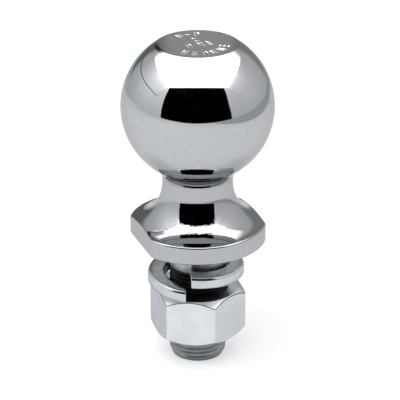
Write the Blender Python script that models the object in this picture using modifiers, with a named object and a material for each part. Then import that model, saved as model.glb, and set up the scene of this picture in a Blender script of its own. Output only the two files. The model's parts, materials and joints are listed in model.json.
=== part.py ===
"""Threaded tow ball with its lock washer and hex nut.

The ball, its neck, the flange with two spanner flats and the shank are one forging. A split spring
washer lies on the nut, and the nut runs on the shank's thread. Lengths are in metres, +Z points up
through the ball, and the origin is the centre of the shank's free end.
"""

import math

import bmesh
import bpy
from mathutils import Matrix, Vector

MM = 0.001

# The forging
BALL_DIAMETER = 50.8 * MM
CROWN_DIAMETER = 26.8 * MM
NECK_DIAMETER = 23.7 * MM
NECK_LENGTH = 4.277 * MM
NECK_HOLLOW = 7.0 * MM
FLARE_TOP_RADIUS = 16.0 * MM
FLARE_TOP_END = math.radians(20)
FLARE_END = math.radians(77)
FLANGE_DIAMETER = 46.0 * MM
RIM_HEIGHT = 6.2 * MM
RIM_ROUNDING = 0.7 * MM
RIM_CHAMFER = 0.4 * MM
FLAT_DEPTH = 2.8 * MM
SHANK_DIAMETER = 19.05 * MM
SHANK_LENGTH = 43.0 * MM
SHANK_FILLET = 0.8 * MM
TIP_CHAMFER_DEPTH = 1.0 * MM
TIP_CHAMFER_LENGTH = 2.0 * MM

# The nut
NUT_ACROSS_FLATS = 28.575 * MM
NUT_HEIGHT = 16.4 * MM
NUT_FACE_INSET = 0.3 * MM
NUT_CHAMFER_SLOPE = math.radians(38)
NUT_COUNTERSINK = 0.9 * MM

# The lock washer, as wound: its ends stand apart by a little more than its thickness. It has slid a
# little to one side of the shank, and its slot is sheared askew.
WASHER_WIDTH = 5.95 * MM
WASHER_THICKNESS = 4.76 * MM
WASHER_RISE = 5.4 * MM
WASHER_EDGE = 1.5 * MM
WASHER_SLOT = 1.9 * MM
WASHER_SLOT_BEARING = math.radians(241)
WASHER_SLOT_SKEW = math.radians(8)
WASHER_SHIFT = 0.6 * MM
WASHER_SHIFT_BEARING = math.radians(159.5)

# Clearances, and the space left open under the flange for the towing plate
PLATE_SPACE = 7.5 * MM
NUT_BORE_CLEARANCE = 0.3 * MM
WASHER_BORE_CLEARANCE = 0.925 * MM
SEAT_CLEARANCE = 0.3 * MM
CUTTER_OVERRUN = 2.0 * MM

# The largest shares of the flare's reach for its upper bend, and of the neck's room for its hollow
MOST_TOP_REACH = 0.5
MOST_HOLLOW = 0.95

# Facets
TURNED_STEPS = 72
BALL_RINGS = 24
HOLLOW_RINGS = 5
FLARE_RINGS = 7
ROUNDING_RINGS = 3
WASHER_EDGE_RINGS = 3
WELD_DISTANCE = 0.00001
SHARP_ANGLE = math.radians(28)

BALL_RADIUS = BALL_DIAMETER / 2
NECK_RADIUS = NECK_DIAMETER / 2
FLANGE_RADIUS = FLANGE_DIAMETER / 2
SHANK_RADIUS = SHANK_DIAMETER / 2
NUT_APOTHEM = NUT_ACROSS_FLATS / 2

# Heights above the shank's free end
SEAT_HEIGHT = SHANK_LENGTH
RIM_TOP = SEAT_HEIGHT + RIM_HEIGHT
WASHER_BOTTOM = SEAT_HEIGHT - PLATE_SPACE - WASHER_THICKNESS - WASHER_RISE
NUT_BOTTOM = WASHER_BOTTOM - SEAT_CLEARANCE - NUT_HEIGHT


def collection(name):
    """A new collection in the scene."""
    made = bpy.data.collections.new(name)
    bpy.context.scene.collection.children.link(made)
    return made


def metal(name, colour, roughness):
    """A Principled BSDF metal."""
    made = bpy.data.materials.new(name)
    made.use_nodes = True
    shader = made.node_tree.nodes["Principled BSDF"]
    shader.inputs["Base Color"].default_value = (*colour, 1.0)
    shader.inputs["Metallic"].default_value = 1.0
    shader.inputs["Roughness"].default_value = roughness
    return made


def arc(centre, radius, start, end, rings):
    """Points (radius from the axis, height) on an arc, its angles measured from outward to up."""
    angles = [start + (end - start) * i / rings for i in range(rings + 1)]
    return [(centre[0] + radius * math.cos(a), centre[1] + radius * math.sin(a)) for a in angles]


def object_from(name, mesh, home):
    """An object that shows the mesh, linked to its collection."""
    made = bpy.data.objects.new(name, mesh)
    home.objects.link(made)
    return made


def turned(name, outline, home):
    """A solid turned about Z from an outline that runs down its outer side, from axis to axis."""
    mesh = bpy.data.meshes.new(name)
    edges = [(i, i + 1) for i in range(len(outline) - 1)]
    mesh.from_pydata([(r, 0.0, z) for r, z in outline], edges, [])
    made = object_from(name, mesh, home)
    screw = made.modifiers.new("Turn", "SCREW")
    screw.steps = TURNED_STEPS
    screw.render_steps = TURNED_STEPS
    screw.use_merge_vertices = True
    screw.merge_threshold = WELD_DISTANCE
    return made


def block(name, size, centre, home):
    """A box of the given size about its centre."""
    shape = bmesh.new()
    bmesh.ops.create_cube(shape, size=1.0, matrix=Matrix.LocRotScale(centre, None, size))
    mesh = bpy.data.meshes.new(name)
    shape.to_mesh(mesh)
    shape.free()
    return object_from(name, mesh, home)


def combine(piece, tool, operation):
    """Cuts the piece with a tool, or keeps what the two share, by an exact Boolean."""
    tool.hide_render = True
    tool.display_type = "WIRE"
    boolean = piece.modifiers.new(tool.name, "BOOLEAN")
    boolean.operation = operation
    boolean.solver = "EXACT"
    boolean.object = tool


def finish(piece, material):
    """Applies the modifiers, shades the round faces smooth and gives the piece its metal."""
    graph = bpy.context.evaluated_depsgraph_get()
    mesh = bpy.data.meshes.new_from_object(piece.evaluated_get(graph))
    piece.modifiers.clear()
    piece.data = mesh
    mesh.name = piece.name
    mesh.shade_smooth()
    mesh.set_sharp_from_angle(angle=SHARP_ANGLE)
    mesh.materials.clear()
    mesh.materials.append(material)


def flare():
    """The concave sweep of two arcs from the neck to the rim, with its rounded edge, and its height.

    The tilt of the sweep is 0 at the neck, where it is upright. The lower arc ends on the rounding.
    """
    tangent = RIM_ROUNDING * (1 - math.cos(FLARE_END)) / math.sin(FLARE_END)
    edge_centre = (FLANGE_RADIUS - RIM_ROUNDING, RIM_TOP - tangent)
    edge = arc(edge_centre, RIM_ROUNDING, FLARE_END, 0, ROUNDING_RINGS)

    reach = edge[0][0] - NECK_RADIUS
    top_reach = min(FLARE_TOP_RADIUS * (1 - math.cos(FLARE_TOP_END)), MOST_TOP_REACH * reach)
    top_radius = top_reach / (1 - math.cos(FLARE_TOP_END))
    low_radius = (reach - top_reach) / (math.cos(FLARE_TOP_END) - math.cos(FLARE_END))
    bends = ((top_radius, 0, FLARE_TOP_END), (low_radius, FLARE_TOP_END, FLARE_END))
    drop = sum(radius * (math.sin(end) - math.sin(start)) for radius, start, end in bends)
    start_height = edge[0][1] + drop

    sweep = [(NECK_RADIUS, start_height)]
    for radius, start, end in bends:
        across, height = sweep[-1]
        centre = (across + radius * math.cos(start), height + radius * math.sin(start))
        sweep += arc(centre, radius, math.pi + start, math.pi + end, FLARE_RINGS)[1:]
    return sweep + edge[1:], start_height


def ball_outline():
    """The forging's outline, from the crown's centre down to the centre of the shank's end."""
    sweep, sweep_start = flare()
    corner_drop = math.sqrt(BALL_RADIUS**2 - NECK_RADIUS**2)
    ball_height = sweep_start + NECK_LENGTH + corner_drop
    room = NECK_LENGTH * (NECK_LENGTH + 2 * corner_drop) / (2 * (BALL_RADIUS - NECK_RADIUS))
    hollow = min(NECK_HOLLOW, MOST_HOLLOW * room)
    hollow_angle = math.acos((NECK_RADIUS + hollow) / (BALL_RADIUS + hollow))
    hollow_height = ball_height - (BALL_RADIUS + hollow) * math.sin(hollow_angle)
    crown_angle = math.acos(CROWN_DIAMETER / BALL_DIAMETER)
    ball = arc((0, ball_height), BALL_RADIUS, crown_angle, -hollow_angle, BALL_RINGS)
    neck_centre = (NECK_RADIUS + hollow, hollow_height)
    neck = arc(neck_centre, hollow, math.pi - hollow_angle, math.pi, HOLLOW_RINGS)[1:]
    rim = [(FLANGE_RADIUS, SEAT_HEIGHT + RIM_CHAMFER), (FLANGE_RADIUS - RIM_CHAMFER, SEAT_HEIGHT)]
    fillet_centre = (SHANK_RADIUS + SHANK_FILLET, SEAT_HEIGHT - SHANK_FILLET)
    fillet = arc(fillet_centre, SHANK_FILLET, math.pi / 2, math.pi, ROUNDING_RINGS)
    tip = [(SHANK_RADIUS, TIP_CHAMFER_LENGTH), (SHANK_RADIUS - TIP_CHAMFER_DEPTH, 0), (0, 0)]
    return [(0, ball[0][1]), *ball, *neck, *sweep, *rim, *fillet, *tip]


def build_tow_ball(home, cutters, material):
    """Ball, neck, flange and shank, turned in one piece, with the two spanner flats milled off."""
    piece = turned("tow_ball", ball_outline(), home)
    sweep_start = flare()[1]
    low = SEAT_HEIGHT - CUTTER_OVERRUN
    size = Vector((FLAT_DEPTH + CUTTER_OVERRUN, FLANGE_DIAMETER, sweep_start - low))
    for side, name in ((1, "flat_cutter_right"), (-1, "flat_cutter_left")):
        centre_x = side * (FLANGE_RADIUS - FLAT_DEPTH + size.x / 2)
        cutter = block(name, size, Vector((centre_x, 0, (low + sweep_start) / 2)), cutters)
        combine(piece, cutter, "DIFFERENCE")
    finish(piece, material)
    return piece


def build_hex_nut(home, cutters, material):
    """A length of hexagon bar, faced and chamfered at both ends, with a countersunk bore."""
    corner_radius = NUT_APOTHEM / math.cos(math.pi / 6)
    bar = bmesh.new()
    bmesh.ops.create_cone(
        bar,
        segments=6,
        cap_ends=True,
        radius1=corner_radius,
        radius2=corner_radius,
        depth=NUT_HEIGHT + 2 * CUTTER_OVERRUN,
        matrix=Matrix.Translation((0, 0, NUT_HEIGHT / 2)),
    )
    mesh = bpy.data.meshes.new("hex_nut")
    bar.to_mesh(mesh)
    bar.free()
    piece = object_from("hex_nut", mesh, home)

    face = NUT_APOTHEM - NUT_FACE_INSET
    wide = corner_radius + CUTTER_OVERRUN
    drop = (wide - face) * math.tan(NUT_CHAMFER_SLOPE)
    blank_outline = [
        (0, NUT_HEIGHT),
        (face, NUT_HEIGHT),
        (wide, NUT_HEIGHT - drop),
        (wide, drop),
        (face, 0),
        (0, 0),
    ]
    combine(piece, turned("nut_blank", blank_outline, cutters), "INTERSECT")

    bore = SHANK_RADIUS + NUT_BORE_CLEARANCE
    mouth = bore + NUT_COUNTERSINK + CUTTER_OVERRUN
    bore_outline = [
        (0, NUT_HEIGHT + CUTTER_OVERRUN),
        (mouth, NUT_HEIGHT + CUTTER_OVERRUN),
        (bore, NUT_HEIGHT - NUT_COUNTERSINK),
        (bore, NUT_COUNTERSINK),
        (mouth, -CUTTER_OVERRUN),
        (0, -CUTTER_OVERRUN),
    ]
    combine(piece, turned("nut_bore_cutter", bore_outline, cutters), "DIFFERENCE")
    finish(piece, material)
    return piece


def washer_section():
    """The high end's outline: a bar with rolled edges, cut askew so that its bore side lags behind."""
    inner = SHANK_RADIUS + WASHER_BORE_CLEARANCE
    outer = inner + WASHER_WIDTH
    low, high = WASHER_RISE, WASHER_RISE + WASHER_THICKNESS
    edge = min(WASHER_EDGE, 0.45 * WASHER_THICKNESS, 0.45 * WASHER_WIDTH)
    corners = (
        ((outer - edge, high - edge), math.pi / 2),
        ((outer - edge, low + edge), 0),
        ((inner + edge, low + edge), -math.pi / 2),
        ((inner + edge, high - edge), math.pi),
    )
    outline = []
    for centre, start in corners:
        outline += arc(centre, edge, start, start - math.pi / 2, WASHER_EDGE_RINGS)
    bore_side = Vector((inner * math.cos(WASHER_SLOT_SKEW), -inner * math.sin(WASHER_SLOT_SKEW), 0))
    outer_side = Vector((outer, 0, 0))
    points = []
    for across, height in outline:
        place = bore_side.lerp(outer_side, (across - inner) / WASHER_WIDTH)
        points.append((place.x, place.y, height))
    return points


def build_lock_washer(home, material):
    """A rolled bar wound one turn round the shank, its left end low and its right end high."""
    outer = SHANK_RADIUS + WASHER_BORE_CLEARANCE + WASHER_WIDTH
    slot_angle = WASHER_SLOT / outer
    sweep_angle = 2 * math.pi - slot_angle
    steps = TURNED_STEPS
    coil = bmesh.new()
    corners = [coil.verts.new(point) for point in washer_section()]
    section = coil.faces.new(corners)
    start = Matrix.Rotation(WASHER_SLOT_BEARING + slot_angle / 2, 3, "Z")
    bmesh.ops.rotate(coil, cent=(0, 0, 0), matrix=start, verts=corners)
    bmesh.ops.spin(
        coil,
        geom=[section],
        cent=(0, 0, 0),
        axis=(0, 0, 1),
        dvec=(0, 0, -WASHER_RISE / steps),
        angle=sweep_angle,
        steps=steps,
    )
    shift = Matrix.Rotation(WASHER_SHIFT_BEARING, 3, "Z") @ Vector((WASHER_SHIFT, 0, 0))
    bmesh.ops.translate(coil, vec=shift, verts=coil.verts)
    bmesh.ops.recalc_face_normals(coil, faces=coil.faces)
    mesh = bpy.data.meshes.new("lock_washer")
    coil.to_mesh(mesh)
    coil.free()
    piece = object_from("lock_washer", mesh, home)
    finish(piece, material)
    return piece


def build_tow_ball_assembly():
    """The forging with its washer and nut in place."""
    for old in list(bpy.data.objects):
        bpy.data.objects.remove(old)
    parts = collection("threaded_tow_ball")
    cutters = collection("cutters")
    polished = metal("polished_chrome", (0.78, 0.79, 0.80), 0.05)
    plated = metal("bright_plating", (0.74, 0.75, 0.76), 0.22)

    ball = build_tow_ball(parts, cutters, polished)
    washer = build_lock_washer(parts, plated)
    washer.parent = ball
    washer.location.z = WASHER_BOTTOM
    nut = build_hex_nut(parts, cutters, plated)
    nut.parent = washer
    nut.location.z = NUT_BOTTOM - WASHER_BOTTOM


build_tow_ball_assembly()
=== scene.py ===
"""Dresses a threaded tow ball for its studio picture.

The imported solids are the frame. Each of the three pieces gets a fine surface in its place: the
polished forging with its real thread, the split lock washer and the hexagon nut with its own
thread. The metals are procedural, and the stage is a pale floor under a wide soft light.
Lengths are in metres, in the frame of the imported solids.
"""

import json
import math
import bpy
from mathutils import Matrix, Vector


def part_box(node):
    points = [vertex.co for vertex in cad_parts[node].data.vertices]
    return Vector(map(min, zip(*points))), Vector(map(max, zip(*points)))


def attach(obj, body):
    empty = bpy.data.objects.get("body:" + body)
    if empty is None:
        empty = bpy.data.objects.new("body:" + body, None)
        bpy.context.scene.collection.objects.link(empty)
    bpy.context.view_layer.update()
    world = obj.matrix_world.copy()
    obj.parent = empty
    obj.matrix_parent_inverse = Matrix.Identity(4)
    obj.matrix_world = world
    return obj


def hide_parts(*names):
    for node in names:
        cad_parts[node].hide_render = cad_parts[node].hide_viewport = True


bl_info = {
    "name": "Threaded tow ball",
    "version": (1, 0, 0),
    "blender": (4, 5, 0),
    "location": "3D View > Sidebar > Tow ball",
    "description": "Builds the fine surfaces of a tow ball, its lock washer and its nut, and their stage",
    "category": "Object",
}

import bmesh
import bpy
from bpy.props import FloatProperty, FloatVectorProperty, PointerProperty
from mathutils import Vector

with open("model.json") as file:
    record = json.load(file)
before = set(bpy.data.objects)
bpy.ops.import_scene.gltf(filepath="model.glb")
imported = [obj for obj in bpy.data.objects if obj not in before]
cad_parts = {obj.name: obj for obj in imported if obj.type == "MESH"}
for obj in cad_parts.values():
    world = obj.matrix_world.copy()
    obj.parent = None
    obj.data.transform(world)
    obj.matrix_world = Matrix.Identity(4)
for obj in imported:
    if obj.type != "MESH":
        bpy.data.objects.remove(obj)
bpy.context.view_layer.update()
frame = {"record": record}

MM = 0.001
UP = Vector((0, 0, 1))
MOUNTS = {mount["name"]: Vector(mount["pos_m"]) for mount in frame["record"]["mounts"]}
FORGING_LOW, FORGING_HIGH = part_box("tow_ball")
WASHER_LOW, WASHER_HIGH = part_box("lock_washer")
NUT_LOW, NUT_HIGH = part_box("hex_nut")

SEAT_HEIGHT = MOUNTS["flange_seat"].z
CROWN_HEIGHT = FORGING_HIGH.z
FLAT_REACH = MOUNTS["spanner_flat_right"].x
NUT_APOTHEM = MOUNTS["nut_flat_right"].x

# Fineness of the meshes
EDGE_RINGS = 4
BALL_RINGS = 96
HOLLOW_RINGS = 20
FLARE_RINGS = 44
RIM_RINGS = 8
FLAT_COLUMNS, CORNER_COLUMNS, ROUND_COLUMNS = 22, 8, 44
SHANK_STEPS = 120
STROKE_STEPS = 20
WASHER_STEPS = 240
ROUNDING_STEPS = 5
NUT_CORNER_STEPS = 6
SHARP_ANGLE = math.radians(32)
WELD_DISTANCE = 0.001 * MM

# The thread's profile over one pitch: place along the axis, and depth as a share of the full depth
THREAD_PROFILE = (
    (0.01, 0.0),
    (0.115, 0.0),
    (0.165, 0.1),
    (0.40, 0.9),
    (0.46, 1.0),
    (0.5625, 1.03),
    (0.665, 1.0),
    (0.725, 0.9),
    (0.96, 0.1),
)
THREAD_DEPTH_SHARE = 0.5413


def length_setting(name, description, default):
    """A length that a user can change."""
    return FloatProperty(name=name, description=description, default=default, subtype="DISTANCE")


def angle_setting(name, description, default):
    """An angle that a user can change."""
    return FloatProperty(name=name, description=description, default=default, subtype="ANGLE")


def colour_setting(name, description, default):
    """A colour that a user can change."""
    return FloatVectorProperty(name=name, description=description, default=default, subtype="COLOR")


class ForgingSettings(bpy.types.PropertyGroup):
    """Sizes and finish of the ball, its neck, flange and shank."""

    ball_radius: length_setting("Ball radius", "Radius of the ball", FORGING_HIGH.x)
    crown_radius: length_setting("Crown radius", "Radius of the flat on top of the ball", 13.4 * MM)
    neck_radius: length_setting("Neck radius", "Radius of the neck under the ball", 11.85 * MM)
    neck_fillet: length_setting("Neck fillet", "Radius of the hollow between the ball and its neck", 7.0 * MM)
    flare_top_radius: length_setting(
        "Flare top radius", "Radius of the upper part of the sweep from the neck to the flange", 16.0 * MM
    )
    flare_top_end: angle_setting(
        "Flare top end", "Tilt of the surface where the upper part of the sweep ends", math.radians(20)
    )
    flare_end: angle_setting(
        "Flare end", "Tilt of the surface where the sweep meets the rim", math.radians(77)
    )
    rim_height: length_setting("Rim height", "Height of the rim from the seat to its upper corner", 6.2 * MM)
    flange_radius: length_setting("Flange radius", "Radius of the flange between its flats", 23.0 * MM)
    rim_chamfer: length_setting("Rim chamfer", "Chamfer at the rim's lower edge", 0.4 * MM)
    rim_rounding: length_setting("Rim rounding", "Radius where the flare meets the rim", 0.7 * MM)
    flat_rounding: length_setting("Flat rounding", "Radius where the flare meets a spanner flat", 0.3 * MM)
    shank_radius: length_setting("Shank radius", "Radius over the thread's crests", 9.525 * MM)
    plain_shank: length_setting("Plain shank", "Length of shank without a thread, under the flange", 9.5 * MM)
    thread_pitch: length_setting("Thread pitch", "Distance from one crest to the next", 25.4 / 16 * MM)
    tip_depth: length_setting("Tip chamfer depth", "Depth of the chamfer at the shank's end", 1.0 * MM)
    tip_length: length_setting("Tip chamfer length", "Length of the chamfer at the shank's end", 2.0 * MM)
    mark_width: length_setting("Mark width", "Width of a punched stroke on the crown", 0.72 * MM)
    mark_depth: length_setting("Mark depth", "Depth of a punched stroke on the crown", 0.36 * MM)
    chrome: colour_setting("Chrome", "Colour of the polished chrome", (0.54, 0.555, 0.575))
    steel: colour_setting("Thread steel", "Colour of the rolled thread", (0.42, 0.455, 0.47))


class WasherSettings(bpy.types.PropertyGroup):
    """Sizes and finish of the split lock washer."""

    width: length_setting("Bar width", "Width of the washer's bar", 5.95 * MM)
    thickness: length_setting("Bar thickness", "Thickness of the washer's bar", 4.76 * MM)
    bore_radius: length_setting("Bore radius", "Radius of the washer's hole", 10.45 * MM)
    edge: length_setting("Edge rounding", "Radius of the bar's rolled edges", 1.5 * MM)
    slot_width: length_setting("Slot width", "Gap between the ends, measured along the rim", 1.9 * MM)
    slot_bearing: angle_setting("Slot bearing", "Direction of the gap from the axis", math.radians(241))
    slot_skew: angle_setting(
        "Slot skew", "How far the bore side of the gap lags behind its outer side", math.radians(8)
    )
    shift: length_setting("Shift", "How far the washer has slid to one side of the shank", 0.6 * MM)
    shift_bearing: angle_setting(
        "Shift bearing", "Direction in which the washer has slid", math.radians(159.5)
    )
    plating: colour_setting("Plating", "Colour of the washer's plating", (0.66, 0.695, 0.71))


class NutSettings(bpy.types.PropertyGroup):
    """Sizes and finish of the hexagon nut."""

    face_inset: length_setting("Face inset", "How far inside the flats the round end faces stop", 0.3 * MM)
    chamfer_slope: angle_setting(
        "Chamfer slope", "Slope of the chamfer that trims the corners", math.radians(38)
    )
    corner_rounding: length_setting("Corner rounding", "Radius of the six upright corners", 0.55 * MM)
    countersink: length_setting("Countersink", "Depth of the countersink at each end of the bore", 0.9 * MM)
    thread_clearance: length_setting(
        "Thread clearance", "Play between the nut's thread and the shank's", 0.1 * MM
    )
    plating: colour_setting("Plating", "Colour of the nut's plating", (0.80, 0.82, 0.855))


class StageSettings(bpy.types.PropertyGroup):
    """Camera, floor, light and what the metal mirrors."""

    camera_bearing: angle_setting(
        "Camera bearing", "Direction of the camera from the axis", math.radians(249.5)
    )
    camera_rise: angle_setting("Camera rise", "Angle of the camera above the horizon", math.radians(23.98))
    camera_distance: length_setting("Camera distance", "Distance from the aimed point to the camera", 0.7)
    aim_height: length_setting("Aim height", "Height of the aimed point", 56.3 * MM)
    aim_right: length_setting("Aim right", "How far the aimed point lies to the right of the axis", 0.77 * MM)
    focal_length: FloatProperty(
        name="Focal length", description="Focal length on a 36 mm sensor, in millimetres", default=188.5
    )
    light_height: length_setting("Light height", "Height of the soft light over the floor", 0.201)
    light_strength: FloatProperty(
        name="Light strength",
        description="Brightness of the soft light in the mirror of the metal, where 1 is white",
        default=3.0,
    )
    lamp_power: FloatProperty(
        name="Lamp power", description="Power of the lamp that lights the floor, in watts", default=6.0
    )
    wall_radius: length_setting("Wall radius", "Distance from the axis to the studio's walls", 1.6)


# Outlines and skins


def arc(centre, radius, start, end, steps):
    """Points (radius from the axis, height) on part of a circle, both ends included."""
    angles = [start + (end - start) * i / steps for i in range(steps + 1)]
    return [Vector((centre[0] + radius * math.cos(a), centre[1] + radius * math.sin(a))) for a in angles]


def rounded(corners):
    """An outline through corners (across, up, rounding), with a support point beside each rounding."""
    points = [Vector(corners[0][:2])]
    for before, corner, after in zip(corners, corners[1:], corners[2:]):
        here = Vector(corner[:2])
        arriving = (here - Vector(before[:2])).normalized()
        leaving = (Vector(after[:2]) - here).normalized()
        turn = arriving.angle_signed(leaving)
        rounding = corner[2]
        reach = rounding * abs(math.tan(turn / 2))
        centre = here + (leaving - arriving).normalized() * rounding / math.cos(turn / 2)
        spoke = here - arriving * reach - centre
        start = math.atan2(spoke.y, spoke.x)
        points.append(here - arriving * (reach + rounding / 4))
        points += arc(centre, rounding, start, start - turn, ROUNDING_STEPS)
        points.append(here + leaving * (reach + rounding / 4))
    points.append(Vector(corners[-1][:2]))
    return points


def on_turn(point, angle):
    """The place in space of an outline's point, turned round the axis."""
    return Vector((point[0] * math.cos(angle), point[0] * math.sin(angle), point[1]))


def lay_columns(shape, columns, closed=True):
    """Faces over equally long columns of points. Closed joins the last column to the first."""
    laid = [[shape.verts.new(point) for point in column] for column in columns]
    pairs = list(zip(laid, laid[1:]))
    if closed:
        pairs.append((laid[-1], laid[0]))
    for left, right in pairs:
        for i in range(len(left) - 1):
            shape.faces.new((left[i], left[i + 1], right[i + 1], right[i]))
    return laid


def weld(shape):
    """Joins points that lie on each other."""
    bmesh.ops.remove_doubles(shape, verts=shape.verts, dist=WELD_DISTANCE)


def fill_flat(shape):
    """Closes the flat openings that the skin still has, round any islands in them."""
    heights = {}
    for edge in shape.edges:
        if edge.is_boundary:
            heights.setdefault(round(edge.verts[0].co.z / MM, 2), []).append(edge)
    for edges in heights.values():
        bmesh.ops.triangle_fill(shape, edges=edges, use_beauty=True, normal=UP)


def to_piece(shape, name, body, node, materials):
    """Turns the finished skin into a piece that stands for a CAD node and rides on its body."""
    bmesh.ops.recalc_face_normals(shape, faces=shape.faces)
    mesh = bpy.data.meshes.new(name)
    shape.to_mesh(mesh)
    shape.free()
    mesh.shade_smooth()
    mesh.set_sharp_from_angle(angle=SHARP_ANGLE)
    for material in materials:
        mesh.materials.append(material)
    piece = bpy.data.objects.new(name, mesh)
    bpy.context.scene.collection.objects.link(piece)
    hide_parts(node)
    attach(piece, body)
    return piece


def thread_columns(steps, low, high, pitch, radius_at):
    """Columns of points whose rows climb with the helix, so that crests and roots are clean lines.

    The first row lies a whole pitch and one row too low, so that the thread ends level all round.
    """
    rows = len(THREAD_PROFILE)
    pitches = math.ceil((high - low) / pitch) + 2
    columns = []
    for step in range(steps):
        angle = 2 * math.pi * step / steps
        column = []
        for row in range(-rows - 1, pitches * rows):
            along, depth = THREAD_PROFILE[row % rows]
            height = low + pitch * (row // rows + along + step / steps)
            height = min(max(height, low), high)
            column.append(on_turn((radius_at(height, depth), height), angle))
        columns.append(column)
    return columns


def lay_thread(shape, columns):
    """Faces over a thread's columns. The last column meets the first one pitch further on."""
    laid = lay_columns(shape, columns, closed=False)
    rows = len(THREAD_PROFILE)
    last, first = laid[-1], laid[0]
    for i in range(len(last) - 1 - rows):
        shape.faces.new((last[i], last[i + 1], first[i + rows + 1], first[i + rows]))


# The forging


def soft_least(a, b, blend):
    """The smaller of two lengths, blended where they are nearly equal."""
    share = max(blend - abs(a - b), 0) / blend
    return min(a, b) - share * share * blend / 4


def body_angles():
    """Bearings of the forging's columns, closer together where a flat meets the round rim."""
    settings = bpy.context.scene.tow_ball_forging
    corner = math.acos(FLAT_REACH / settings.flange_radius)
    near = math.radians(1.2)
    spans = (
        (0, corner - near, FLAT_COLUMNS),
        (corner - near, corner + near, CORNER_COLUMNS),
        (corner + near, math.pi / 2, ROUND_COLUMNS),
    )
    quarter = [start + (end - start) * i / steps for start, end, steps in spans for i in range(steps)]
    half = quarter + [math.pi - angle for angle in reversed(quarter[1:])]
    half.insert(len(quarter), math.pi / 2)
    return half + [angle + math.pi for angle in half]


def head_outline(settings):
    """The crown's edge, the ball, the hollow under it and the neck, from the top down."""
    ball_radius = settings.ball_radius
    edge = 0.3 * MM
    ball_height = CROWN_HEIGHT - math.sqrt(ball_radius**2 - settings.crown_radius**2)
    edge_rise = CROWN_HEIGHT - edge - ball_height
    edge_centre = (math.sqrt((ball_radius - edge) ** 2 - edge_rise**2), CROWN_HEIGHT - edge)
    edge_end = math.atan2(edge_rise, edge_centre[0])
    points = [Vector((edge_centre[0] - edge, CROWN_HEIGHT))]
    points += arc(edge_centre, edge, math.pi / 2, edge_end, EDGE_RINGS)

    hollow = settings.neck_fillet
    hollow_radius = settings.neck_radius + hollow
    ball_end = -math.acos(hollow_radius / (ball_radius + hollow))
    hollow_centre = (hollow_radius, ball_height + (ball_radius + hollow) * math.sin(ball_end))
    points += arc((0, ball_height), ball_radius, edge_end, ball_end, BALL_RINGS)[1:]
    points += arc(hollow_centre, hollow, math.pi + ball_end, math.pi, HOLLOW_RINGS)[1:]
    return points


def flare_arcs(settings):
    """The two arcs of the sweep, from the neck down: centre, radius and tilt at both ends of each."""
    top_end, end = settings.flare_top_end, settings.flare_end
    corner = Vector((settings.flange_radius, SEAT_HEIGHT + settings.rim_height))
    corner -= settings.rim_rounding * Vector((1, (1 - math.cos(end)) / math.sin(end)))
    foot = corner + settings.rim_rounding * Vector((math.cos(end), math.sin(end)))

    top_radius = settings.flare_top_radius
    reach = foot.x - settings.neck_radius - top_radius * (1 - math.cos(top_end))
    radius = reach / (math.cos(top_end) - math.cos(end))
    centre = foot + radius * Vector((math.cos(end), math.sin(end)))
    top_centre = centre + (top_radius - radius) * Vector((math.cos(top_end), math.sin(top_end)))
    return (top_centre, top_radius, 0, top_end), (centre, radius, top_end, end)


def flange_outline(settings, angle):
    """The sweep, the rim or spanner flat and the seat's outer part at one bearing."""
    wall = soft_least(FLAT_REACH / max(abs(math.cos(angle)), 0.1), settings.flange_radius, 0.2 * MM)
    lost = settings.flange_radius - wall
    share = min(max(1 - lost / settings.rim_rounding, 0), 1)
    rounding = settings.flat_rounding + (settings.rim_rounding - settings.flat_rounding) * share
    chamfer = max(settings.rim_chamfer - lost, 0.1 * MM)

    upper, lower = flare_arcs(settings)
    centre, radius, start, _ = lower
    reach = radius + rounding
    across = wall - rounding - centre.x
    round_centre = Vector((wall - rounding, centre.y - math.sqrt(reach**2 - across**2)))
    meeting = math.atan2(round_centre.y - centre.y, round_centre.x - centre.x) % (2 * math.pi)
    points = [Vector((settings.neck_radius, upper[0].y + 0.3 * MM))]
    points += arc(upper[0], upper[1], math.pi + upper[2], math.pi + upper[3], FLARE_RINGS)
    points += arc(centre, radius, math.pi + start, meeting, FLARE_RINGS)[1:]
    points += arc(round_centre, rounding, meeting - math.pi, 0, RIM_RINGS)[1:]
    foot = [
        (wall, round_centre.y, 0),
        (wall, SEAT_HEIGHT + chamfer, chamfer / 4),
        (wall - chamfer, SEAT_HEIGHT, chamfer / 4),
        (wall - 2 * MM, SEAT_HEIGHT, 0),
    ]
    return points + rounded(foot)[1:]


def shank_radius_at(settings, height, depth):
    """Radius of the threaded shank: full depth, a run-out at the top and the chamfered tip."""
    run_out = SEAT_HEIGHT - settings.plain_shank
    fade = min(max((run_out - height) / settings.thread_pitch, 0), 1)
    full = THREAD_DEPTH_SHARE * settings.thread_pitch
    tip = settings.shank_radius - settings.tip_depth * max(1 - height / settings.tip_length, 0)
    return min(settings.shank_radius - full * depth * fade, tip)


def lay_shank(shape, settings):
    """The fillet under the flange, the plain shank, the thread and the shank's end."""
    fillet = 0.8 * MM
    radius = settings.shank_radius
    run_out = SEAT_HEIGHT - settings.plain_shank
    seat = (radius + 2 * fillet, SEAT_HEIGHT, 0)
    plain = rounded([seat, (radius, SEAT_HEIGHT, fillet), (radius, run_out, 0)])
    turns = [2 * math.pi * i / SHANK_STEPS for i in range(SHANK_STEPS)]
    lay_columns(shape, [[on_turn(point, angle) for point in plain] for angle in turns])
    columns = thread_columns(
        SHANK_STEPS,
        0,
        run_out,
        settings.thread_pitch,
        lambda height, depth: shank_radius_at(settings, height, depth),
    )
    lay_thread(shape, columns)


def stroke_levels(settings):
    """Half-widths and depths of a punched stroke's round-bottomed groove, from its lip down."""
    half = settings.mark_width / 2
    shares = (1.0, 0.9, 0.7, 0.45, 0.2)
    return [(half * share, settings.mark_depth * math.sqrt(1 - share * share)) for share in shares]


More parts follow.
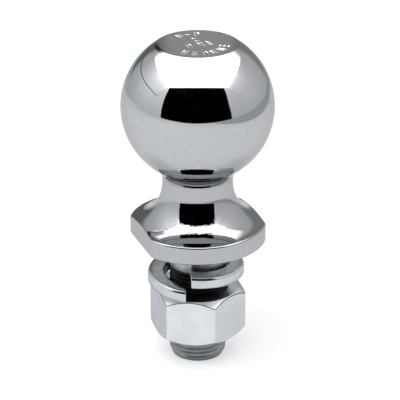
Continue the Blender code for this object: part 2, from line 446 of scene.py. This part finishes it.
def lay_stroke(shape, settings, centre, lengthwise, length):
    """A punched straight stroke with round ends."""
    sideways = UP.cross(lengthwise)
    half_length = max(length - settings.mark_width, 0) / 2
    columns = [[] for _ in range(STROKE_STEPS)]
    for half, depth in stroke_levels(settings):
        for i, column in enumerate(columns):
            angle = 2 * math.pi * (i + 0.5) / len(columns)
            push = half_length * (1 if math.cos(angle) > 0 else -1)
            along = push + half * math.cos(angle)
            place = centre + lengthwise * along + sideways * half * math.sin(angle)
            column.append(place - UP * depth)
    laid = lay_columns(shape, columns)
    shape.faces.new([column[-1] for column in laid])


def lay_mark(shape, settings, kind, centre, upright):
    """One plain punch mark: a number of rungs beside one upright, rungs alone, or two uprights."""
    rung_step, short_rung, long_rung, upright_length = 1.4 * MM, 0.9 * MM, 1.8 * MM, 3.4 * MM
    across = UP.cross(upright)
    rungs, side = kind
    for step in range(rungs):
        climb = (step - (rungs - 1) / 2) * rung_step
        place = centre + upright * climb - across * side * 0.4 * MM
        lay_stroke(shape, settings, place, across, short_rung if side else long_rung)
    uprights = (0.7 * side,) if side else ()
    for shift in uprights if rungs else (-0.6, 0.6):
        lay_stroke(shape, settings, centre + across * shift * MM, upright, upright_length)


def lay_crown_marks(shape, settings):
    """Plain punch marks on the crown: a short arc behind, a slanted group and a long arc in front."""
    bearing = bpy.context.scene.tow_ball_stage.camera_bearing
    dash, bars, pair, comb, hook = (1, 0), (3, 0), (0, 0), (3, -1), (2, 1)
    front_arc, back_arc, slant = 8.9 * MM, 9.7 * MM, 25

    def mark(kind, radius, turn, upright_turn):
        angle = bearing + math.radians(turn)
        centre = on_turn((radius, CROWN_HEIGHT), angle)
        upright = on_turn((1, 0), bearing + math.radians(upright_turn))
        lay_mark(shape, settings, kind, centre, upright)

    for i, kind in enumerate((comb, bars, hook, comb, pair, bars)):
        turn = -27 + 21 * i
        mark(kind, front_arc, turn, turn)
    for i, kind in enumerate((hook, dash, comb)):
        turn = -143 - 17 * i
        mark(kind, back_arc, turn, turn)
    mark(dash, 5.6 * MM, -166, slant)
    mark(dash, 2.9 * MM, -175, slant)
    mark(hook, 3.4 * MM, -56, slant)
    mark(comb, 1.2 * MM, 85, slant)
    mark(bars, 3.9 * MM, 108, slant)


def forging_material_of(face, settings):
    """Which of the forging's finishes a face has: chrome, satin crown, punched mark or thread."""
    centre = face.calc_center_median()
    across = math.hypot(centre.x, centre.y)
    if centre.z > CROWN_HEIGHT - 0.005 * MM and abs(face.normal.z) > 0.99:
        return 1
    if across < settings.crown_radius - 0.5 * MM and centre.z > CROWN_HEIGHT - 2 * settings.mark_depth:
        return 2
    if across < settings.shank_radius + 0.01 * MM and centre.z < SEAT_HEIGHT - settings.plain_shank:
        return 3
    return 0


class TOWBALL_OT_forging(bpy.types.Operator):
    """Builds the fine surface of the ball, neck, flange and threaded shank"""

    bl_idname = "towball.forging"
    bl_label = "Forging"

    def execute(self, context):
        settings = context.scene.tow_ball_forging
        shape = bmesh.new()
        head = head_outline(settings)
        columns = []
        for angle in body_angles():
            columns.append([on_turn(point, angle) for point in head + flange_outline(settings, angle)])
        lay_columns(shape, columns)
        lay_shank(shape, settings)
        lay_crown_marks(shape, settings)
        weld(shape)
        fill_flat(shape)
        bmesh.ops.recalc_face_normals(shape, faces=shape.faces)
        for face in shape.faces:
            face.material_index = forging_material_of(face, settings)
        finishes = [
            polished_chrome(settings),
            satin_crown(settings),
            punched_glint_and_shade(settings),
            rolled_thread(settings),
        ]
        piece = to_piece(shape, "ball_forging", "forging", "tow_ball", finishes)
        return {"FINISHED"}


# The lock washer


def washer_section(settings):
    """The bar's rounded section about the low corner of its bore side, once round."""
    edge = settings.edge
    low, high = 0, settings.thickness
    inner, outer = settings.bore_radius, settings.bore_radius + settings.width
    middle = (inner + outer) / 2
    corners = [(middle, low, 0), (outer, low, edge), (outer, high, edge)]
    corners += [(inner, high, edge), (inner, low, edge), (middle, low, 0)]
    return rounded(corners)[:-1]


def askew(settings, across):
    """Distance from the washer's own axis, and lag, of a place on the straight but slanted cut."""
    inner, outer = settings.bore_radius, settings.bore_radius + settings.width
    bore_side = Vector((inner * math.cos(settings.slot_skew), -inner * math.sin(settings.slot_skew)))
    place = bore_side.lerp(Vector((outer, 0)), (across - inner) / settings.width)
    return place.length, -math.atan2(place.y, place.x)


def inset_section(section, inset):
    """The section drawn in all round by an inset, for a chamfered end."""
    middle = sum(section, Vector((0, 0))) / len(section)
    half_width = max(abs(point.x - middle.x) for point in section)
    half_height = max(abs(point.y - middle.y) for point in section)
    shares = Vector((1 - inset / half_width, 1 - inset / half_height))
    return [middle + (point - middle) * shares for point in section]


class TOWBALL_OT_lock_washer(bpy.types.Operator):
    """Builds the fine surface of the split lock washer"""

    bl_idname = "towball.lock_washer"
    bl_label = "Lock washer"

    def execute(self, context):
        settings = context.scene.tow_ball_washer
        section = washer_section(settings)
        outer = settings.bore_radius + settings.width
        slot = settings.slot_width / outer
        start = settings.slot_bearing + slot / 2
        sweep = 2 * math.pi - slot
        rise = WASHER_HIGH.z - WASHER_LOW.z - settings.thickness
        broken = 0.15 * MM
        near = broken / outer / sweep
        shares = [near + (1 - 2 * near) * i / WASHER_STEPS for i in range(WASHER_STEPS + 1)]
        cuts = [(0, inset_section(section, broken))]
        cuts += [(share, section) for share in shares]
        cuts.append((1, inset_section(section, broken)))
        shape = bmesh.new()
        shift = on_turn((settings.shift, 0), settings.shift_bearing)
        columns = []
        for share, outline in cuts:
            lift = WASHER_LOW.z + rise * (1 - share)
            column = []
            for across, height in outline:
                radius, lag = askew(settings, across)
                column.append(on_turn((radius, height + lift), start + sweep * share - lag) + shift)
            columns.append(column)
        loops = [list(loop) + [loop[0]] for loop in columns]
        laid = lay_columns(shape, loops, closed=False)
        shape.faces.new(laid[0][:-1])
        shape.faces.new(laid[-1][:-1])
        weld(shape)
        piece = to_piece(shape, "split_lock_washer", "washer", "lock_washer", [washer_plating(settings)])
        return {"FINISHED"}


# The nut


def hexagon_columns(settings):
    """Bearing and distance from the axis of points round the rounded hexagon."""
    corner = NUT_APOTHEM / math.cos(math.pi / 6)
    rounding = settings.corner_rounding
    inset = corner - rounding / math.cos(math.pi / 6)
    tangent = NUT_APOTHEM * math.tan(math.pi / 6) - rounding * math.tan(math.pi / 6)
    half = (0.3, 0.55, 0.75, 0.9, 0.985)
    shares = [-share for share in reversed(half)] + [0, *half]
    points = []
    for face in range(6):
        normal = math.radians(60 * face)
        outward = Vector((math.cos(normal), math.sin(normal)))
        along = Vector((-outward.y, outward.x))
        for share in shares:
            points.append(outward * NUT_APOTHEM + along * tangent * share)
        turn = normal + math.pi / 6
        centre = Vector((math.cos(turn), math.sin(turn))) * inset
        points += arc(centre, rounding, normal, normal + math.pi / 3, NUT_CORNER_STEPS)
    return [(math.atan2(point.y, point.x), point.length) for point in points]


def nut_outline(settings, reach):
    """The nut's outer side at a bearing where its wall stands that far from the axis."""
    face = NUT_APOTHEM - settings.face_inset
    drop = (reach - face) * math.tan(settings.chamfer_slope)
    low, high = NUT_LOW.z, NUT_HIGH.z
    start, face_rounding, flat_rounding = face - 0.8 * MM, 0.1 * MM, 0.22 * MM
    corners = [
        (start, high, 0),
        (face, high, face_rounding),
        (reach, high - drop, flat_rounding),
        (reach, low + drop, flat_rounding),
        (face, low, face_rounding),
        (start, low, 0),
    ]
    return rounded(corners)


def nut_thread_radius(settings, thread, height, depth):
    """Radius of the nut's thread: the shank's own thread pushed out by the clearance, and countersunk."""
    full = THREAD_DEPTH_SHARE * thread.thread_pitch
    radius = thread.shank_radius + settings.thread_clearance - full * depth
    from_face = min(height - NUT_LOW.z, NUT_HIGH.z - height)
    mouth = thread.shank_radius + 0.3 * MM + settings.countersink
    return max(radius, mouth - from_face)


class TOWBALL_OT_hex_nut(bpy.types.Operator):
    """Builds the fine surface of the hexagon nut and its thread"""

    bl_idname = "towball.hex_nut"
    bl_label = "Hexagon nut"

    def execute(self, context):
        settings = context.scene.tow_ball_nut
        thread = context.scene.tow_ball_forging
        shape = bmesh.new()
        columns = [
            [on_turn(point, angle) for point in nut_outline(settings, reach)]
            for angle, reach in hexagon_columns(settings)
        ]
        lay_columns(shape, columns)
        pitch = thread.thread_pitch
        first = pitch * math.floor(NUT_LOW.z / pitch)
        columns = thread_columns(
            SHANK_STEPS,
            first,
            NUT_HIGH.z,
            pitch,
            lambda height, depth: nut_thread_radius(settings, thread, max(height, NUT_LOW.z), depth),
        )
        for column in columns:
            for point in column:
                point.z = max(point.z, NUT_LOW.z)
        lay_thread(shape, columns)
        weld(shape)
        fill_flat(shape)
        piece = to_piece(shape, "hexagon_nut", "nut", "hex_nut", [nut_plating(settings)])
        return {"FINISHED"}


# Finishes


class Shade:
    """A node's output with arithmetic: an expression on it adds the Math nodes that it needs."""

    def __init__(self, tree, socket=None):
        self.tree = tree
        self.socket = socket

    def node(self, kind, inputs=None, output=0, **settings):
        """Adds a node: its settings first, then the values or links of its sockets."""
        made = self.tree.nodes.new(kind)
        for name, setting in settings.items():
            setattr(made, name, setting)
        for name, value in (inputs or {}).items():
            if isinstance(value, Shade):
                self.tree.links.new(value.socket, made.inputs[name])
            else:
                made.inputs[name].default_value = value
        return Shade(self.tree, made.outputs[output] if made.outputs else None)

    def maths(self, operation, *values):
        """A Math node on numbers or links."""
        return self.node("ShaderNodeMath", dict(enumerate(values)), operation=operation)

    def __add__(self, other):
        return self.maths("ADD", self, other)

    __radd__ = __add__

    def __sub__(self, other):
        return self.maths("SUBTRACT", self, other)

    def __rsub__(self, other):
        return self.maths("SUBTRACT", other, self)

    def __mul__(self, other):
        return self.maths("MULTIPLY", self, other)

    __rmul__ = __mul__

    def __truediv__(self, other):
        return self.maths("DIVIDE", self, other)

    def __rtruediv__(self, other):
        return self.maths("DIVIDE", other, self)

    def size(self):
        """This value without its sign."""
        return self.maths("ABSOLUTE", self)

    def at_least(self, limit):
        """This value, or the limit where it is less."""
        return self.maths("MAXIMUM", self, limit)

    def at_most(self, limit):
        """This value, or the limit where it is more."""
        return self.maths("MINIMUM", self, limit)

    def ramp(self, low, high, start=0.0, end=1.0):
        """Runs smoothly from start to end while this value runs from low to high."""
        inputs = {0: self, 1: low, 2: high, 3: start, 4: end}
        return self.node("ShaderNodeMapRange", inputs, interpolation_type="SMOOTHSTEP")

    def toward(self, direction):
        """How far this place lies along a direction."""
        inputs = {0: self, 1: tuple(direction)}
        return self.node("ShaderNodeVectorMath", inputs, output="Value", operation="DOT_PRODUCT")

    def stretched(self, scale):
        """This place with its three axes scaled."""
        return self.node("ShaderNodeVectorMath", {0: self, 1: scale}, operation="MULTIPLY")

    def moved(self, step):
        """This place moved by a step."""
        return self.node("ShaderNodeVectorMath", {0: self, 1: tuple(step)}, operation="ADD")

    def reach(self):
        """How far this place is from the object's axis."""
        inputs = {0: self.stretched((1, 1, 0))}
        return self.node("ShaderNodeVectorMath", inputs, output="Value", operation="LENGTH")

    def bearing(self):
        """The level direction from the axis to this place, one long."""
        level = self.stretched((1, 1, 0))
        return self.node("ShaderNodeVectorMath", {0: level}, operation="NORMALIZE")

    def noise(self, scale, detail=2.0, roughness=0.5):
        """Cloudy noise about 0.5 at this place, its scale in clouds per metre."""
        inputs = {"Vector": self, "Scale": scale, "Detail": detail, "Roughness": roughness}
        return self.node("ShaderNodeTexNoise", inputs)

    def mixed(self, first, second):
        """The first colour where this is 0 and the second where it is 1."""
        inputs = {0: self, 6: opaque(first), 7: opaque(second)}
        return self.node("ShaderNodeMix", inputs, output=2, data_type="RGBA")

    def bumped(self, height, before=None):
        """A normal tilted by this relief, whose full range is that high in metres."""
        inputs = {"Height": self, "Distance": height, "Strength": 1.0}
        if before:
            inputs["Normal"] = before
        return self.node("ShaderNodeBump", inputs)


def opaque(colour):
    """A colour with full alpha, or a link as it is."""
    return colour if isinstance(colour, Shade) else (*colour, 1)


def scaled(colour, factor):
    """A colour times a factor."""
    return tuple(channel * factor for channel in colour)


def metal(name, finish, limb=0.75):
    """A metal with the finish's colour, roughness and normal at each place, dulled at its limb."""
    material = bpy.data.materials.new(name)
    material.use_nodes = True
    tree = material.node_tree
    shader = tree.nodes["Principled BSDF"]
    shader.inputs["Metallic"].default_value = 1.0
    shader.inputs["Specular Tint"].default_value = (limb, limb, limb, 1)
    place = Shade(tree).node("ShaderNodeTexCoord", output="Object")
    colour, roughness, normal = finish(place)
    tree.links.new(colour.socket, shader.inputs["Base Color"])
    tree.links.new(roughness.socket, shader.inputs["Roughness"])
    tree.links.new(normal.socket, shader.inputs["Normal"])
    return material


def polished_chrome(settings):
    """Mirror chrome over polished steel, grainy where the flare bends out, with painted shade: drawn darker
    on the flange and darkest in the hollow under the ball.
    """

    def finish(place):
        height = place.toward(UP)
        flange = height.ramp(65 * MM, 68 * MM, 1, 0)
        hollow = height.ramp(64.5 * MM, 66.5 * MM) * height.ramp(72 * MM, 73.5 * MM, 1, 0)
        shank = height.ramp(SEAT_HEIGHT - 0.2 * MM, SEAT_HEIGHT - 0.05 * MM, 1, 0)
        mottle = place.noise(420, 3).ramp(0.3, 0.7)
        colour = mottle.mixed(settings.chrome, scaled(settings.chrome, 0.96))
        # Painted shade: the flange is drawn darker than the ball.
        colour = flange.mixed(colour, scaled(settings.chrome, 0.88))
        # Painted shade: the hollow under the ball is drawn darker still.
        colour = hollow.mixed(colour, scaled(settings.chrome, 0.76))
        colour = shank.mixed(colour, scaled(settings.chrome, 1.15))
        # The crown's edge is drawn nearly black along a stretch at the left, toward the camera.
        colour = dark_crown_edge(place, settings).mixed(colour, scaled(settings.chrome, 0.08))
        haze = place.noise(220, 3).ramp(0.45, 0.75)
        hairlines = place.stretched((1, 1, 9)).noise(900, 2).ramp(0.5, 0.8)
        roughness = 0.03 + 0.025 * haze + 0.02 * hairlines + 0.35 * shank
        waves = place.noise(70, 1).bumped(0.0015 * MM)
        bend = height.ramp(50 * MM, 52 * MM) * height.ramp(54 * MM, 57 * MM, 1, 0)
        grain = (place.noise(1100, 2) * bend).bumped(0.04 * MM, waves)
        return colour, roughness, grain

    return metal("polished_chrome", finish)


def dark_crown_edge(place, settings):
    """Where the crown's edge is drawn dark: a stretch at the left, toward the camera."""
    right, front = stage_axes(bpy.context.scene.tow_ball_stage)
    band = (place.reach() - settings.crown_radius).size().ramp(0.3 * MM, 1.1 * MM, 1, 0)
    bearing = place.bearing()
    stretch = bearing.toward(front).ramp(-0.1, 0.2) * bearing.toward(front).ramp(0.4, 0.72, 1, 0)
    left = bearing.toward(right).ramp(-0.5, -0.4, 1, 0)
    return band * stretch * left * place.toward(UP).ramp(CROWN_HEIGHT - 2 * MM, CROWN_HEIGHT - 1 * MM)


def satin_crown(settings):
    """The crown's ground flat, a little duller than the ball."""

    def finish(place):
        cloud = place.noise(300, 3).ramp(0.3, 0.7)
        colour = cloud.mixed(settings.chrome, scaled(settings.chrome, 0.92))
        # The crown's edge is drawn nearly black along a stretch at the left, toward the camera.
        colour = dark_crown_edge(place, settings).mixed(colour, scaled(settings.chrome, 0.08))
        grain = place.stretched((1, 6, 1)).noise(1500, 2)
        roughness = 0.07 + 0.04 * cloud
        return colour, roughness, grain.bumped(0.001 * MM)

    return metal("satin_crown", finish)


def punched_glint_and_shade(settings):
    """The punched marks, with a painted glint on their walls over a painted shade line along their bottom."""

    def finish(place):
        bottom = CROWN_HEIGHT - settings.mark_depth
        # Painted shade: the groove's bottom is drawn nearly black; painted glint: its walls are drawn far
        # brighter than the chrome.
        wall = place.toward(UP).ramp(bottom + 0.02 * MM, bottom + 0.08 * MM)
        colour = wall.mixed((0.05, 0.055, 0.06), (0.93, 0.94, 0.95))
        cloud = place.noise(1500, 2).ramp(0.3, 0.7)
        roughness = 0.14 + 0.06 * cloud
        return colour, roughness, cloud.bumped(0.004 * MM)

    return metal("punched_glint_and_shade", finish)


def rolled_thread(settings):
    """The rolled thread, darker at its tip, with painted shade that makes it nearly black above the nut."""

    def finish(place):
        height = place.toward(UP)
        cloud = place.noise(500, 4).ramp(0.3, 0.7)
        # The thread's own colour, without the painted shade above the nut.
        clean = cloud.mixed(settings.steel, scaled(settings.steel, 0.75))
        tip = height.ramp(0.8 * MM, 2.0 * MM, 1, 0)
        clean = tip.mixed(clean, scaled(settings.steel, 0.5))
        # Painted shade: between the nut and the flange the thread is drawn nearly black.
        shade_above_nut = height.ramp(12 * MM, 20 * MM)
        colour = shade_above_nut.mixed(clean, scaled(settings.steel, 0.07))
        roughness = 0.3 + 0.1 * cloud
        scuffs = place.stretched((1, 1, 0.3)).noise(2500, 3)
        return colour, roughness, scuffs.bumped(0.006 * MM)

    return metal("rolled_thread", finish)


def washer_plating(settings):
    """Bright plating over a rolled bar, with painted shade that makes it nearly black in the bore."""

    def finish(place):
        cloud = place.noise(350, 3).ramp(0.3, 0.7)
        colour = cloud.mixed(settings.plating, scaled(settings.plating, 0.9))
        shift = on_turn((settings.shift, 0), settings.shift_bearing)
        inside = settings.bore_radius + 0.2 * MM
        # Painted shade: near the bore the plating is drawn nearly black.
        bore = place.moved(-shift).reach().ramp(inside, inside + 0.9 * MM, 1, 0)
        colour = bore.mixed(colour, scaled(settings.plating, 0.08))
        roughness = 0.15 + 0.07 * cloud
        drawn = place.stretched((1, 1, 5)).noise(700, 2)
        return colour, roughness, drawn.bumped(0.003 * MM)

    return metal("washer_plating", finish)


def nut_plating(settings):
    """Softer plating over a drawn bar, with a painted shade line where the top chamfer starts."""

    def finish(place):
        cloud = place.noise(160, 2).ramp(0.3, 0.7)
        colour = cloud.mixed(settings.plating, scaled(settings.plating, 0.94))
        face = NUT_APOTHEM - settings.face_inset
        drop = (place.reach() - face) * math.tan(settings.chamfer_slope)
        below = (NUT_HIGH.z - place.toward(UP) - drop).size()
        flats = [place.toward(on_turn((1, 0), math.radians(turn))).size() for turn in (0, 60, 120)]
        out = flats[0].at_least(flats[1]).at_least(flats[2])
        on_flat = out.ramp(NUT_APOTHEM - 0.12 * MM, NUT_APOTHEM - 0.05 * MM)
        # Painted shade: a dark line along the crease where each flat meets the top chamfer.
        line = below.ramp(0.15 * MM, 0.35 * MM, 1, 0) * on_flat
        colour = line.mixed(colour, scaled(settings.plating, 0.1))
        roughness = 0.2 + 0.06 * cloud
        dimples = place.noise(240, 2)
        return colour, roughness, dimples.bumped(0.004 * MM)

    return metal("nut_plating", finish)


# The stage


def stage_axes(settings):
    """The camera's right-hand side and the way to the camera, both level."""
    bearing = settings.camera_bearing
    front = Vector((math.cos(bearing), math.sin(bearing), 0))
    return Vector((-front.y, front.x, 0)), front


def place_camera(settings):
    """A long lens a little above the ball."""
    right, front = stage_axes(settings)
    back = front * math.cos(settings.camera_rise) + UP * math.sin(settings.camera_rise)
    aim = UP * settings.aim_height + right * settings.aim_right
    lens = bpy.data.cameras.new("camera")
    lens.lens = settings.focal_length
    lens.sensor_width = 36
    lens.clip_start = 0.01
    camera = bpy.data.objects.new("camera", lens)
    bpy.context.scene.collection.objects.link(camera)
    camera.location = aim + back * settings.camera_distance
    camera.rotation_mode = "QUATERNION"
    camera.rotation_quaternion = (-back).to_track_quat("-Z", "Y")
    bpy.context.scene.camera = camera


def stage_mesh(name, points, faces, material):
    """A sheet of the stage, which is no part of the object."""
    mesh = bpy.data.meshes.new(name)
    mesh.from_pydata(points, [], faces)
    mesh.materials.append(material)
    made = bpy.data.objects.new(name, mesh)
    bpy.context.scene.collection.objects.link(made)
    return made


def only_mirrored(made):
    """Leaves a sheet visible in the metal's mirror alone."""
    made.visible_camera = False
    made.visible_diffuse = False
    made.visible_transmission = False
    made.visible_shadow = False


def emptied(owner):
    """The node tree of a material or world with nothing in it yet."""
    owner.use_nodes = True
    owner.node_tree.nodes.clear()
    return Shade(owner.node_tree)


def ray_kinds(rays):
    """Whether a ray comes from the camera, from a mirror or through glass."""
    kinds = ("Is Camera Ray", "Is Glossy Ray", "Is Transmission Ray")
    return [rays.node("ShaderNodeLightPath", output=kind) for kind in kinds]


def glow(name, paint):
    """A material that shines as the paint function says, and is clear where its cover is 0."""
    material = bpy.data.materials.new(name)
    place = emptied(material).node("ShaderNodeTexCoord", output="Object")
    colour, strength, cover = paint(place)
    light = place.node("ShaderNodeEmission", {"Color": opaque(colour), "Strength": strength})
    clear = place.node("ShaderNodeBsdfTransparent")
    shown = place.node("ShaderNodeMixShader", {0: cover, 1: clear, 2: light})
    place.node("ShaderNodeOutputMaterial", {"Surface": shown})
    return material


def hang_sheet(settings, name, sides, depths, height, paint):
    """A level sheet that only the metal mirrors, from one side to the other and from near to far."""
    right, front = stage_axes(settings)
    (left_side, right_side), (near, far) = sides, depths
    corners = [(left_side, near), (right_side, near), (right_side, far), (left_side, far)]
    points = [right * x + front * y + UP * height for x, y in corners]
    only_mirrored(stage_mesh(name, points, [(0, 1, 2, 3)], glow(name, paint)))


def room_tone(place, right, front, side_tone):
    """The grey of the room by bearing: the given tone at the sides, darker behind the object."""
    plain, middle_strip, left_corner, right_corner = 0.65, 0.48, 0.2, 0.33
    bearing = place.bearing()
    ahead = bearing.toward(front)
    tone = plain + (side_tone - plain) * ahead.ramp(-0.8, 0)
    beside = ahead.ramp(-0.88, -0.74)
    sideways = bearing.toward(right)
    corner = sideways.ramp(-0.3, 0.3, left_corner, right_corner)
    middle = sideways.size().ramp(0.05, 0.075, 1, 0)
    return tone * beside + (middle_strip * middle + corner * (1 - middle)) * (1 - beside)


def hang_soft_light(settings):
    """The soft light close overhead, as the metal mirrors it: crisp in front, with a glow all round."""
    right, front = stage_axes(settings)
    half, near, far = 0.6, 0.11, -0.45
    edge, left_reach, right_reach = 0.122, 0.045, 0.02

    def paint(place):
        side = place.toward(right)
        depth = place.toward(front)
        across = side.size()
        bow = across.at_most(edge) * across.at_most(edge)
        front_edge = (depth + 1.6 * bow).ramp(0.1085, 0.1095, 1, 0)
        lit = across.ramp(edge - 0.003, edge + 0.002, 1, 0) * depth.ramp(-0.12, -0.045)
        beyond = (across - edge).at_least(0) + 1.2 * (0.01 - depth).at_least(0)
        reach = side.ramp(-edge, edge, left_reach, right_reach)
        spill = side.ramp(-edge, edge, 0.84, 0.71) + 0.98 / (1 + beyond / reach)
        tone = room_tone(place, right, front, spill)
        return (1, 1, 1), lit * settings.light_strength + (1 - lit) * tone, front_edge

    hang_sheet(settings, "soft_light", (-half, half), (near, far), settings.light_height, paint)


def hang_black_card(settings):
    """An upright black card before the ball, a little wider at its top."""
    right, front = stage_axes(settings)
    ahead = 0.92
    left_side = ((-1.75, 2.6), (-1.58, 1.06), (-1.41, 0.53), (-1.43, 0.0), (-0.6, 0.02))
    right_side = ((0.6, 0.02), (1.12, 0.0), (1.06, 0.53), (1.14, 1.06), (1.2, 2.6))

    def paint(place):
        return (0, 0, 0), 0.0, 1.0

    points = [right * x + front * ahead + UP * height for x, height in left_side + right_side]
    outline = tuple(range(len(points)))
    only_mirrored(stage_mesh("black_card", points, [outline], glow("black_card", paint)))


def hang_flag(settings):
    """A small grey flag behind the ball's left shoulder, with a thin black rim on its far side."""
    right, front = stage_axes(settings)
    left, inner, near, far, height = -0.0605, -0.044, 0.036, -0.058, 0.12

    def paint(place):
        side = place.toward(right)
        depth = place.toward(front)
        rim = side.ramp(left + 0.0022, left + 0.003, 1, 0)
        sheet = depth.ramp(-0.014, 0.004, 1, 0) * side.ramp(inner - 0.006, inner, 1, 0)
        tone = depth.ramp(-0.05, -0.044, 0.05, 0.5) + depth.ramp(-0.03, 0.0, 0, 0.4)
        return (0.96, 1.0, 1.02), tone * (1 - rim), rim + sheet * (1 - rim)

    hang_sheet(settings, "flag", (left, inner), (near, far), height, paint)


def raise_walls(settings):
    """The studio's grey walls and ceiling: dark behind, lighter at the sides and toward the light."""
    right, front = stage_axes(settings)
    radius, height, steps = settings.wall_radius, 2.2, 96
    turns = [2 * math.pi * i / steps for i in range(steps)]
    points = [on_turn((radius, z), angle) for z in (0, height) for angle in turns]
    faces = [(i, (i + 1) % steps, (i + 1) % steps + steps, i + steps) for i in range(steps)]
    faces.append(tuple(range(steps, 2 * steps)))

    def paint(place):
        lift = place.toward(UP) / radius
        turn = place.bearing().toward(right)
        side = turn.ramp(-1, 1, 0.74, 0.65) + turn.ramp(-1, 1, 0.5, 0.35) * lift
        side = side + turn.ramp(-1, 1, 0.6, 0.35) * lift.ramp(0.5, 1.1)
        overhead = lift.ramp(0.98 * height / radius, 0.995 * height / radius)
        shade = room_tone(place, right, front, side) * (1 - overhead) + 0.42 * overhead
        behind = place.bearing().toward(front).ramp(-0.95, -0.6)
        tint = behind.mixed((0.96, 1.05, 1.06), (0.98, 1.0, 1.03))
        return tint, shade, 1.0

    only_mirrored(stage_mesh("walls", points, faces, glow("walls", paint)))


def lay_floor(settings):
    """A pale floor that keeps the object's shadow and reads as white to the camera; in the metal's mirror it
    carries painted shade far off and a painted shadow close behind the object.
    """
    right, front = stage_axes(settings)
    material = bpy.data.materials.new("pale_floor")
    rays = emptied(material)
    place = rays.node("ShaderNodeTexCoord", output="Object")
    camera, mirror, through = ray_kinds(rays)
    side = place.toward(right)
    depth = place.toward(front)
    paper = rays.node("ShaderNodeBsdfDiffuse", {"Color": (0.72, 0.72, 0.73, 1)})
    lift = camera * 0.48 + through * 0.48 + mirror * 0.29
    gleam = rays.node("ShaderNodeEmission", {"Color": (1, 1, 1, 1), "Strength": lift})
    lit = rays.node("ShaderNodeAddShader", {0: paper, 1: gleam})

    # Painted shade in the metal's mirror: far to the right and far behind, the floor is drawn dimmer.
    beyond = 1 - side.ramp(0.34, 0.44, 1, 0) * depth.ramp(-0.5, -0.38)
    dusk = side.ramp(-0.3, 0.3, 0.66, 0.5)
    far = rays.node("ShaderNodeEmission", {"Color": (0.97, 1, 1.02, 1), "Strength": dusk})
    sheet = rays.node("ShaderNodeMixShader", {0: beyond * mirror, 1: lit, 2: far})

    # Painted shadow in the metal's mirror: the floor close behind the object is drawn darker.
    distance = rays.node("ShaderNodeVectorMath", {0: place}, output="Value", operation="LENGTH")
    painted_floor_shadow = distance.ramp(0.045, 0.09, 1, 0) * depth.ramp(-0.01, 0.035, 1, 0)
    near = rays.node("ShaderNodeEmission", {"Color": (0.98, 1, 1.02, 1), "Strength": 0.73})
    shown = rays.node("ShaderNodeMixShader", {0: painted_floor_shadow * mirror, 1: sheet, 2: near})
    rays.node("ShaderNodeOutputMaterial", {"Surface": shown})
    half = 3
    points = [Vector((x, y, 0)) for x, y in ((-half, -half), (half, -half), (half, half), (-half, half))]
    stage_mesh("floor", points, [(0, 1, 2, 3)], material)


def light_room(settings):
    """A white world for the camera and the metal, a softer one for the floor, and one soft lamp."""
    world = bpy.data.worlds.new("studio")
    bpy.context.scene.world = world
    rays = emptied(world)
    camera, mirror, through = ray_kinds(rays)
    seen = (camera + mirror + through).at_most(1)
    strength = seen * 0.45 + 0.55
    sky = rays.node("ShaderNodeBackground", {"Color": (1, 1, 1, 1), "Strength": strength})
    rays.node("ShaderNodeOutputWorld", {"Surface": sky})

    right, front = stage_axes(settings)
    lamp = bpy.data.lights.new("soft_lamp", "AREA")
    lamp.shape = "SQUARE"
    lamp.size = 1.0
    lamp.energy = settings.lamp_power
    made = bpy.data.objects.new("soft_lamp", lamp)
    bpy.context.scene.collection.objects.link(made)
    made.location = front * 0.25 - right * 0.2 + UP * 1.0
    made.rotation_mode = "QUATERNION"
    made.rotation_quaternion = (-made.location).to_track_quat("-Z", "Y")
    made.visible_glossy = False
    made.visible_camera = False


class TOWBALL_OT_stage(bpy.types.Operator):
    """Sets the camera, the floor, the light and what the metal mirrors"""

    bl_idname = "towball.stage"
    bl_label = "Stage"

    def execute(self, context):
        settings = context.scene.tow_ball_stage
        place_camera(settings)
        lay_floor(settings)
        hang_soft_light(settings)
        hang_black_card(settings)
        hang_flag(settings)
        raise_walls(settings)
        light_room(settings)
        context.scene.view_settings.view_transform = "Standard"
        return {"FINISHED"}


class TOWBALL_PT_sidebar(bpy.types.Panel):
    """Lists the pieces of the tow ball and its stage"""

    bl_label = "Tow ball"
    bl_space_type = "VIEW_3D"
    bl_region_type = "UI"
    bl_category = "Tow ball"

    def draw(self, context):
        for operator in PIECES:
            self.layout.operator(operator.bl_idname)


PIECES = (TOWBALL_OT_stage, TOWBALL_OT_forging, TOWBALL_OT_lock_washer, TOWBALL_OT_hex_nut)
SETTINGS = {
    "tow_ball_forging": ForgingSettings,
    "tow_ball_washer": WasherSettings,
    "tow_ball_nut": NutSettings,
    "tow_ball_stage": StageSettings,
}


def register():
    """Adds the operators, the settings and the panel."""
    for made in (*SETTINGS.values(), *PIECES, TOWBALL_PT_sidebar):
        bpy.utils.register_class(made)
    for name, group in SETTINGS.items():
        setattr(bpy.types.Scene, name, PointerProperty(type=group))


def unregister():
    """Takes them away again."""
    for name in SETTINGS:
        delattr(bpy.types.Scene, name)
    for made in reversed((*SETTINGS.values(), *PIECES, TOWBALL_PT_sidebar)):
        bpy.utils.unregister_class(made)


def main():
    """Builds everything in order."""
    register()
    bpy.ops.towball.stage()
    bpy.ops.towball.forging()
    bpy.ops.towball.lock_washer()
    bpy.ops.towball.hex_nut()


if __name__ == "__main__":
    main()
